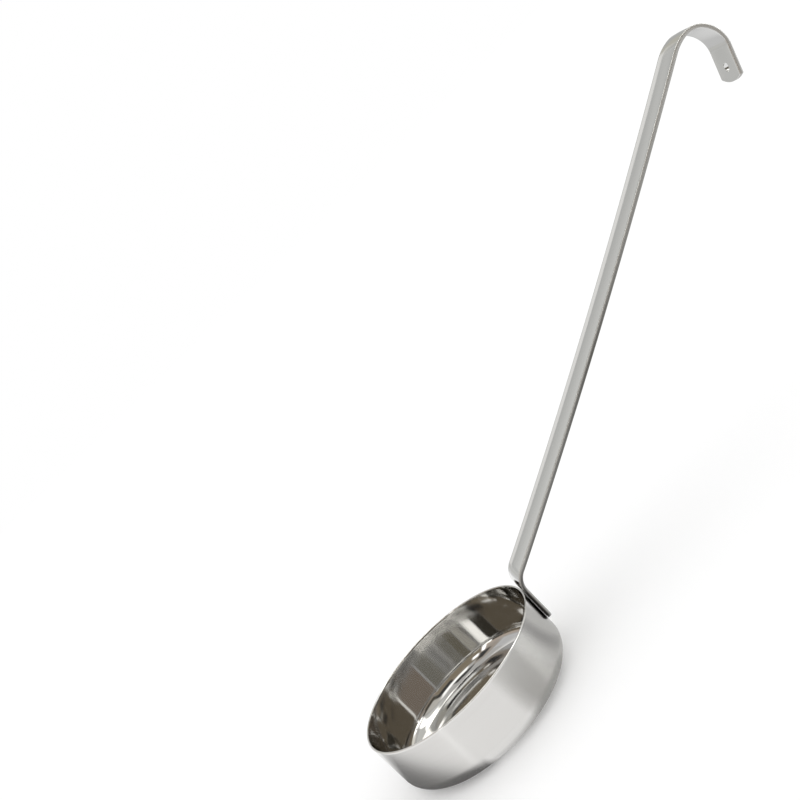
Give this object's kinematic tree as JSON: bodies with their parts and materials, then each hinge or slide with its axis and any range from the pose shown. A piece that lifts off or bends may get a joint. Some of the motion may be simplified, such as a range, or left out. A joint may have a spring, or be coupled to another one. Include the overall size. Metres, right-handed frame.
{
  "type": "sauce ladle",
  "caption": "Flat-bottomed sauce ladle: a shallow round steel cup, spot-welded to a long strap handle that ends in a hook with a hanging hole.",
  "frame": {"origin": "centre of the cup's flat underside", "axes": "+Z out of the cup's mouth, +X towards the handle, whose strap lies in the XZ plane"},
  "size_m": [0.3082, 0.09, 0.1494],
  "materials": {
    "cup_steel": "polished, with fine turning marks",
    "handle_steel": "satin, brushed along its length",
    "weld_steel": "dull fused metal"
  },
  "bodies": {
    "root": {"cup": "cup_steel", "handle": "handle_steel", "spot_weld_lower": "weld_steel", "spot_weld_upper": "weld_steel"}
  },
  "joints": []
}
